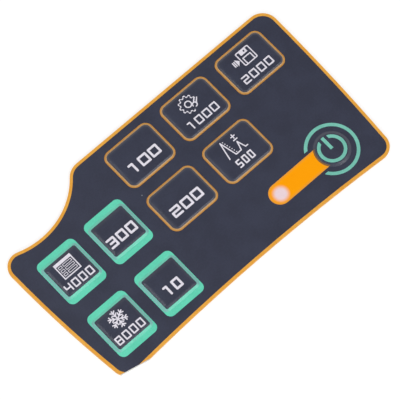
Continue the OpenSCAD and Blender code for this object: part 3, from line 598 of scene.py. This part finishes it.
print("the film now has", len(film.data.polygons), "faces, with pads of",
      sorted({(round(2000 * pad[2], 1), round(2000 * pad[3], 1)) for pad in pads}), "mm")

# %% [markdown]
# ### Leaned normals
# Near its edge a pad's normals are leaned outwards, most at the edge and less and less inwards. The small square
# keys were drawn most and roll over by 20 degrees, and the wide keys and the power key by 8. A pad is a rectangle
# with round corners, so a point's distance from the edge is measured from the middle of the nearest corner's arc:
# past it both ways the edge is the arc, and elsewhere it is the nearer straight side. The normals become
# the mesh's own, and the weighting modifier leaves them as they are, because it works through a vertex group that
# holds all the other vertices. A wide key is known by half its width, and the power key by its corner radius.

# %% Lean the normals near the pads' edges
SQUARE_LEAN = (20, 1.1)
WIDE_LEAN = (8, 0.7)
WIDE_HALF = 6 * MM
ROUND_RADIUS = 3 * MM


def leaned(co):
    """Normal of a pad at a point: it leans by so many degrees at the edge and stands upright so many mm inside."""
    for x, y, half_x, half_y, radius in pads:
        lean, reach = WIDE_LEAN if half_x > WIDE_HALF or radius > ROUND_RADIUS else SQUARE_LEAN
        # How far the point lies past the middle of the corner's arc along X and Y, and the same without minus values
        out = Vector((abs(co.x - x) - half_x + radius, abs(co.y - y) - half_y + radius))
        beyond = Vector((max(out.x, 0.0), max(out.y, 0.0)))
        inside = radius - beyond.length - min(max(out.x, out.y), 0.0)
        if inside > -HAIR and abs(co.z - pad_top) < HAIR:
            # The lean points away from the arc's middle in a corner, and straight out along a side
            way = beyond if beyond.length > 0 else Vector((1, 0) if out.x > out.y else (0, 1))
            way = Vector((math.copysign(way.x, co.x - x), math.copysign(way.y, co.y - y))).normalized()
            tilt = math.radians(lean) * max(0.0, 1 - max(inside, 0.0) / (reach * MM))
            return Vector((way.x * math.sin(tilt), way.y * math.sin(tilt), math.cos(tilt)))
    return Vector((0, 0, 0))


normals = [leaned(vert.co) for vert in film.data.vertices]
others = film.vertex_groups.new(name="all but the pads")
others.add([i for i, normal in enumerate(normals) if normal.length == 0], 1.0, "REPLACE")
film.modifiers[0].vertex_group = others.name
film.data.normals_split_custom_set_from_vertices(normals)
print(sum(1 for normal in normals if normal.length > 0), "vertices lie on the pads")

# %% [markdown]
# ## Domes, silver and lamp
# The small parts inside keep their CAD meshes, because pressed domes and printed tracks are right as they are.
# They only need the finish of their real material, in place of the plain colour that they came with.

# %% Dress the small parts inside
inner = {"silver_circuit": printed_silver, "indicator_led": lamp_body}
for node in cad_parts:
    if node.startswith("dome_") and node != "dome_retainer":
        inner[node] = dome_steel
for node, material in inner.items():
    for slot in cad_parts[node].material_slots:
        slot.material = material
print(len(inner), "inner nodes dressed")

# %% [markdown]
# ## The table
# The panel lies on a plain white table that fills the view. A camera sees the table's own white, and so do
# reflections, while the table still takes the panel's soft shadow, because part of what the camera sees is
# ordinary diffuse light. The table lies a hair below the panel, so that the two faces don't fight.

# %% Floor
TABLE_GLOW = 0.68
TABLE_GREY = "#a6a6a6"
TABLE_HALF = 2.0
TABLE_GAP = 0.02 * MM


def white_table(name):
    """A pale floor that adds its own white for the camera and for reflections, and keeps shadows."""
    material, tree, output, _ = start_material(name)
    path = add(tree, "ShaderNodeLightPath")
    seen = add(tree, "ShaderNodeMath", {"operation": "MAXIMUM"}, {},
               {0: path.outputs["Is Camera Ray"], 1: path.outputs["Is Glossy Ray"]})
    seen = add(tree, "ShaderNodeMath", {"operation": "MAXIMUM"}, {},
               {0: seen.outputs["Value"], 1: path.outputs["Is Transmission Ray"]})
    strength = add(tree, "ShaderNodeMath", {"operation": "MULTIPLY"}, {1: TABLE_GLOW},
                   {0: seen.outputs["Value"]})
    own = add(tree, "ShaderNodeEmission", {}, {"Color": linear("#ffffff")},
              {"Strength": strength.outputs["Value"]})
    matt = add(tree, "ShaderNodeBsdfDiffuse", {}, {"Color": linear(TABLE_GREY)})
    both = add(tree, "ShaderNodeAddShader", {}, {}, {0: own.outputs["Emission"], 1: matt.outputs["BSDF"]})
    tree.links.new(both.outputs["Shader"], output.inputs["Surface"])
    return material


bm = bmesh.new()
bmesh.ops.create_grid(bm, x_segments=1, y_segments=1, size=TABLE_HALF)
bmesh.ops.translate(bm, verts=bm.verts, vec=(0, 0, -TABLE_GAP))
table_mesh = bpy.data.meshes.new("table")
bm.to_mesh(table_mesh)
bm.free()
table_mesh.materials.append(white_table("white_table"))
table = bpy.data.objects.new("table", table_mesh)
bpy.context.scene.collection.objects.link(table)
print("table at", table_mesh.vertices[0].co.z, "m")

# %% [markdown]
# ## Light
# The panel is lit as in a light tent: pale all round, with a darker opening overhead. The tent is told from the
# opening by the Z part of the direction, which is 0 at the horizon and 1 straight up. The flat film mirrors the
# opening, so its colours come out about as they are written, and the walls of the keys mirror the pale sides and
# stand out a little. Three softboxes hang in the tent. Two small ones are high up, where the soft edges of the
# keys mirror them as thin bright lines. A wide one is low on the camera's side and lights what faces the camera.
# Each prints what it adds to the light on a flat sheet, and together with the tent that is about plain white.

# %% Light tent and softboxes
scene = bpy.context.scene
scene.view_settings.view_transform = "Standard"

TENT_LIGHT = 1.0
TENT_UP_TO = 0.60
OPENING_LIGHT = 0.12
OPENING_FROM = 0.86
BOX_DISTANCE = 0.8
world = bpy.data.worlds.new("light_tent")
world.use_nodes = True
tent = world.node_tree
tent.nodes.clear()
ray = add(tent, "ShaderNodeTexCoord").outputs["Generated"]
height = add(tent, "ShaderNodeSeparateXYZ", {}, {}, {"Vector": ray})
level = add(tent, "ShaderNodeMapRange", {"interpolation_type": "SMOOTHSTEP"},
            {"From Min": TENT_UP_TO, "From Max": OPENING_FROM, "To Min": TENT_LIGHT, "To Max": OPENING_LIGHT},
            {"Value": height.outputs["Z"]})
sky = add(tent, "ShaderNodeBackground", {}, {"Color": linear("#ffffff")}, {"Strength": level.outputs["Result"]})
add(tent, "ShaderNodeOutputWorld", {}, {}, {"Surface": sky.outputs["Background"]})
scene.world = world


def softbox(name, towards, side, radiance):
    """A square area light that looks at the panel from a direction. Its power follows from its brightness."""
    lamp = bpy.data.lights.new(name, "AREA")
    lamp.shape = "SQUARE"
    lamp.size = side
    lamp.energy = radiance * math.pi * side * side
    box = bpy.data.objects.new(name, lamp)
    direction = Vector(towards).normalized()
    box.location = direction * BOX_DISTANCE
    box.rotation_mode = "QUATERNION"
    box.rotation_quaternion = direction.to_track_quat("Z", "Y")
    scene.collection.objects.link(box)
    solid_angle = side * side / BOX_DISTANCE ** 2
    print(name, "adds", round(radiance * solid_angle * direction.z / math.pi, 3), "of plain white")


softbox("left_softbox", (-0.22, 0.26, 0.94), side=0.16, radiance=8.0)
softbox("near_softbox", (0.26, -0.46, 0.85), side=0.22, radiance=5.5)
softbox("camera_side_softbox", (-0.60, -0.60, 0.53), side=0.50, radiance=3.4)

# %% [markdown]
# ## Camera
# The camera stands where the photograph was taken from: its place was solved from the straight lines of the
# print, about 0.87 m away, 68 degrees above the table and turned a little about its own axis. A long lens gives
# the flat perspective. Its three axes are written out, because together they hold the turn as well.

# %% The photograph's view
camera_data = bpy.data.cameras.new("photo_camera")
camera_data.lens = 312.552
camera_data.sensor_width = 36.0
camera_data.clip_start = 0.01
camera = bpy.data.objects.new("photo_camera", camera_data)
stand = Vector((-0.226162, -0.231511, 0.807257))
right = Vector((0.73477, -0.67818, 0.01367)).normalized()
back = Vector((-0.26058, -0.26360, 0.92877)).normalized()
right = (right - back * right.dot(back)).normalized()
up = back.cross(right)
turn = Matrix((right, up, back)).transposed().to_4x4()
camera.matrix_world = Matrix.Translation(stand) @ turn
scene.collection.objects.link(camera)
scene.camera = camera
print("camera", round(stand.length, 3), "m from the panel's middle and", round(math.degrees(math.asin(back.z))),
      "degrees above the table")
